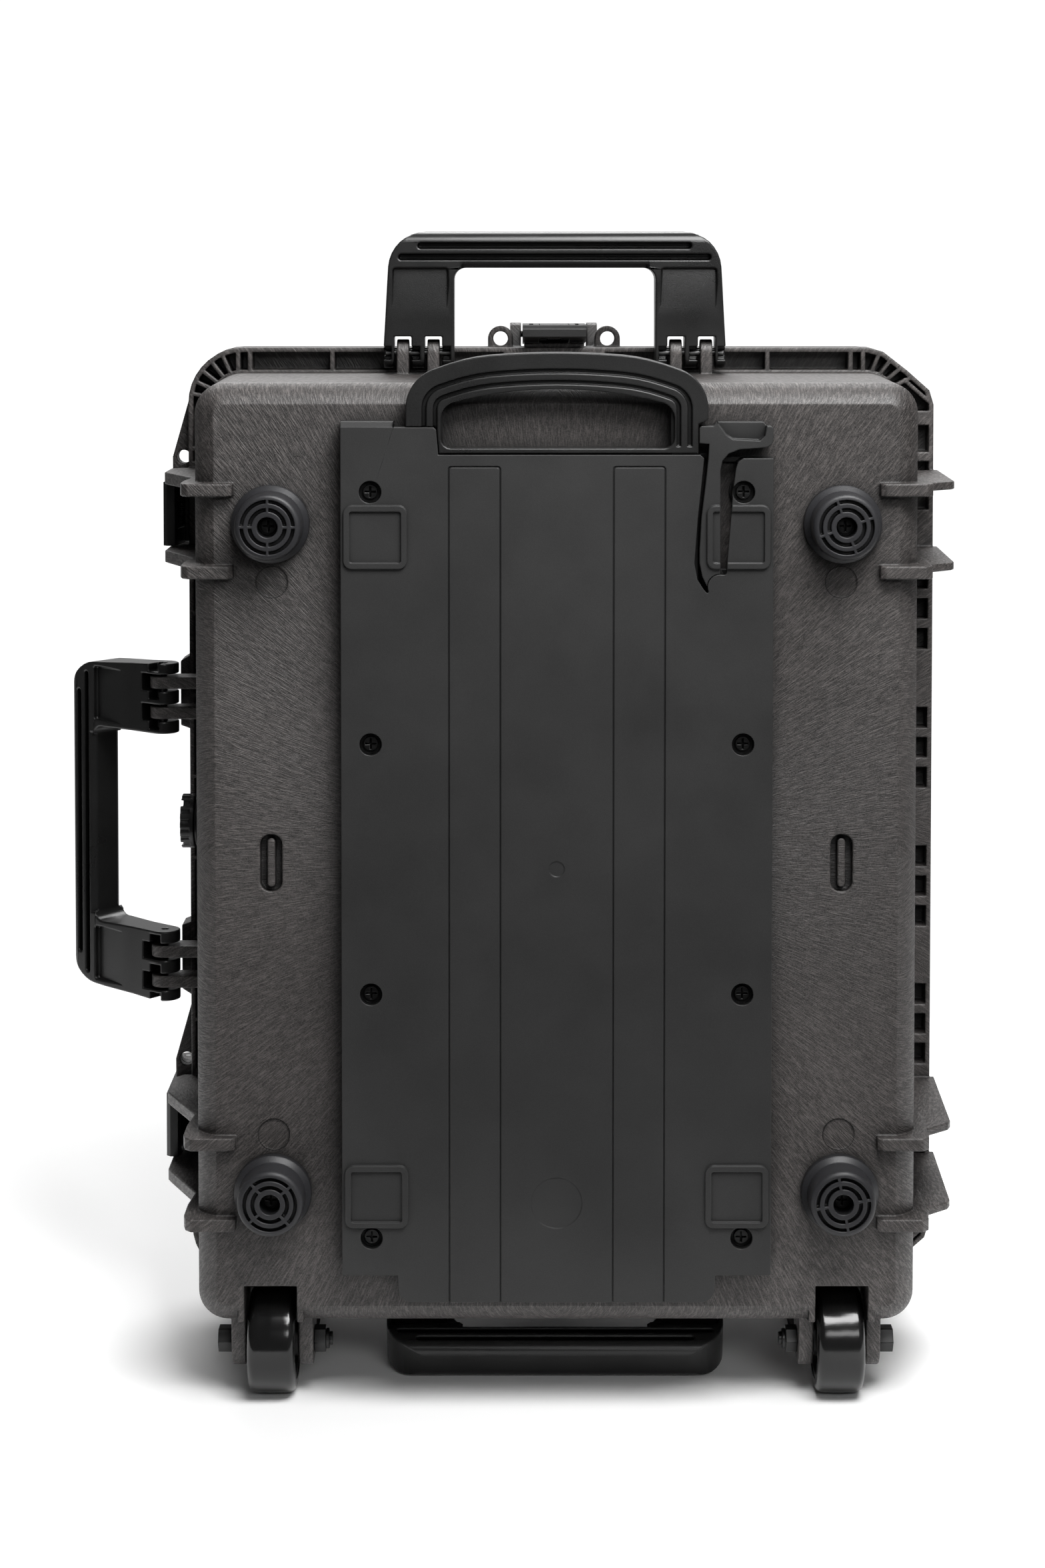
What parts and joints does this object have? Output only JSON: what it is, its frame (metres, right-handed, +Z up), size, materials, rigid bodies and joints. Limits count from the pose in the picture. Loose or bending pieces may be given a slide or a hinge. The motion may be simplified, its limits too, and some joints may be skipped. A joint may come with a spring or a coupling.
{
  "type": "wheeled hard equipment case",
  "caption": "Wheeled hard-shell equipment case with hinged lid, edge latches, folding carry handles, retractable pull handle, rubber feet and corner wheels.",
  "frame": {"origin": "middle of the bounding box's base, on the floor under the standing case", "axes": "+Z up the long side of the standing case, +Y from the base face towards the lid, +X towards the hinges"},
  "size_m": [0.5508, 0.24, 0.7],
  "materials": {
    "textured_shell": "fine grained moulded polypropylene with handling scratches",
    "satin_cover": "smooth satin moulding",
    "black_moulding": "low sheen black moulding",
    "latch_black": "smooth black moulding",
    "foot_rubber": "matt rubber",
    "seal_rubber": "matt rubber",
    "wheel_tyre": "polished black polyurethane",
    "wheel_hub": "black moulding",
    "steel": "plain bright steel",
    "dark_steel": "blackened steel"
  },
  "bodies": {
    "base": {"base_shell": "textured_shell", "hinge_pins": "steel", "handle_cover": "satin_cover", "cover_screws": "dark_steel", "rubber_feet": "foot_rubber", "foot_screws": "dark_steel", "axle_bolts": "dark_steel", "axle_nuts": "dark_steel", "axle_sleeves": "steel", "carry_handle_pins": "steel", "release_pin": "dark_steel", "valve_body": "black_moulding", "valve_nut": "black_moulding", "valve_seal": "seal_rubber"},
    "lid": {"lid_shell": "textured_shell", "lid_gasket": "seal_rubber", "latch_pins": "steel"},
    "left_wheel": {"left_wheel_hub": "wheel_hub", "left_wheel_tyre": "wheel_tyre"},
    "right_wheel": {"right_wheel_hub": "wheel_hub", "right_wheel_tyre": "wheel_tyre"},
    "top_handle": {"top_carry_handle": "black_moulding"},
    "side_handle": {"side_carry_handle": "black_moulding"},
    "bottom_handle": {"bottom_carry_handle": "black_moulding"},
    "pull_handle": {"pull_grip": "black_moulding", "pull_bars": "black_moulding"},
    "release": {"release_lever": "satin_cover"},
    "purge_knob": {"valve_knob": "black_moulding"},
    "upper_latch": {"upper_latch_lever": "latch_black", "upper_latch_spring": "steel", "upper_latch_trigger_pin": "steel"},
    "upper_trigger": {"upper_latch_trigger": "latch_black"},
    "lower_latch": {"lower_latch_lever": "latch_black", "lower_latch_spring": "steel", "lower_latch_trigger_pin": "steel"},
    "lower_trigger": {"lower_latch_trigger": "latch_black"},
    "top_latch": {"top_latch_lever": "latch_black", "top_latch_spring": "steel", "top_latch_trigger_pin": "steel"},
    "top_trigger": {"top_latch_trigger": "latch_black"},
    "bottom_latch": {"bottom_latch_lever": "latch_black", "bottom_latch_spring": "steel", "bottom_latch_trigger_pin": "steel"},
    "bottom_trigger": {"bottom_latch_trigger": "latch_black"}
  },
  "joints": [
    {"name": "lid_hinge", "type": "hinge", "parent": "base", "child": "lid", "pos_m": [0.2676, 0.058, 0.3293], "axis": [0, 0, -1], "range_deg": [0, 105]},
    {"name": "upper_latch_swing", "type": "hinge", "parent": "lid", "child": "upper_latch", "pos_m": [-0.2055, 0.081, 0.52325], "axis": [0, 0, -1], "range_deg": [0, 110]},
    {"name": "upper_trigger_press", "type": "hinge", "parent": "upper_latch", "child": "upper_trigger", "pos_m": [-0.2055, 0.057, 0.52325], "axis": [0, 0, 1], "range_deg": [0, 12], "stiffness_Nm_per_rad": 0.1, "springref_deg": -5.73},
    {"name": "lower_latch_swing", "type": "hinge", "parent": "lid", "child": "lower_latch", "pos_m": [-0.2055, 0.081, 0.13535], "axis": [0, 0, -1], "range_deg": [0, 110]},
    {"name": "lower_trigger_press", "type": "hinge", "parent": "lower_latch", "child": "lower_trigger", "pos_m": [-0.2055, 0.057, 0.13535], "axis": [0, 0, 1], "range_deg": [0, 12], "stiffness_Nm_per_rad": 0.1, "springref_deg": -5.73},
    {"name": "top_latch_swing", "type": "hinge", "parent": "lid", "child": "top_latch", "pos_m": [0.033, 0.081, 0.6348], "axis": [-1, 0, 0], "range_deg": [0, 110]},
    {"name": "top_trigger_press", "type": "hinge", "parent": "top_latch", "child": "top_trigger", "pos_m": [0.033, 0.057, 0.6348], "axis": [1, 0, 0], "range_deg": [0, 12], "stiffness_Nm_per_rad": 0.1, "springref_deg": -5.73},
    {"name": "bottom_latch_swing", "type": "hinge", "parent": "lid", "child": "bottom_latch", "pos_m": [0.033, 0.081, 0.0238], "axis": [1, 0, 0], "range_deg": [0, 110]},
    {"name": "bottom_trigger_press", "type": "hinge", "parent": "bottom_latch", "child": "bottom_trigger", "pos_m": [0.033, 0.057, 0.0238], "axis": [-1, 0, 0], "range_deg": [0, 12], "stiffness_Nm_per_rad": 0.1, "springref_deg": -5.73},
    {"name": "top_handle_fold", "type": "hinge", "parent": "base", "child": "top_handle", "pos_m": [0.033, 0.017, 0.6245], "axis": [1, 0, 0], "range_deg": [-20, 90]},
    {"name": "side_handle_fold", "type": "hinge", "parent": "base", "child": "side_handle", "pos_m": [-0.2126, 0.02, 0.3233], "axis": [0, 0, 1], "range_deg": [-20, 130]},
    {"name": "bottom_handle_fold", "type": "hinge", "parent": "base", "child": "bottom_handle", "pos_m": [0.033, 0.017, 0.0341], "axis": [1, 0, 0], "range_deg": [-15, 95]},
    {"name": "pull_slide", "type": "slide", "parent": "base", "child": "pull_handle", "axis": [0, 0, 1], "range_m": [0, 0.38]},
    {"name": "release_press", "type": "hinge", "parent": "base", "child": "release", "pos_m": [0.128, -0.107, 0.492], "axis": [0, 1, 0], "range_deg": [0, 4.5], "stiffness_Nm_per_rad": 3},
    {"name": "left_wheel_spin", "type": "hinge", "parent": "base", "child": "left_wheel", "pos_m": [-0.137, -0.068, 0.0314], "axis": [1, 0, 0], "continuous": true},
    {"name": "right_wheel_spin", "type": "hinge", "parent": "base", "child": "right_wheel", "pos_m": [0.203, -0.068, 0.0314], "axis": [1, 0, 0], "continuous": true},
    {"name": "purge_knob_turn", "type": "hinge", "parent": "base", "child": "purge_knob", "pos_m": [-0.193, -0.015, 0.3363], "axis": [-1, 0, 0], "range_deg": [0, 180]}
  ]
}
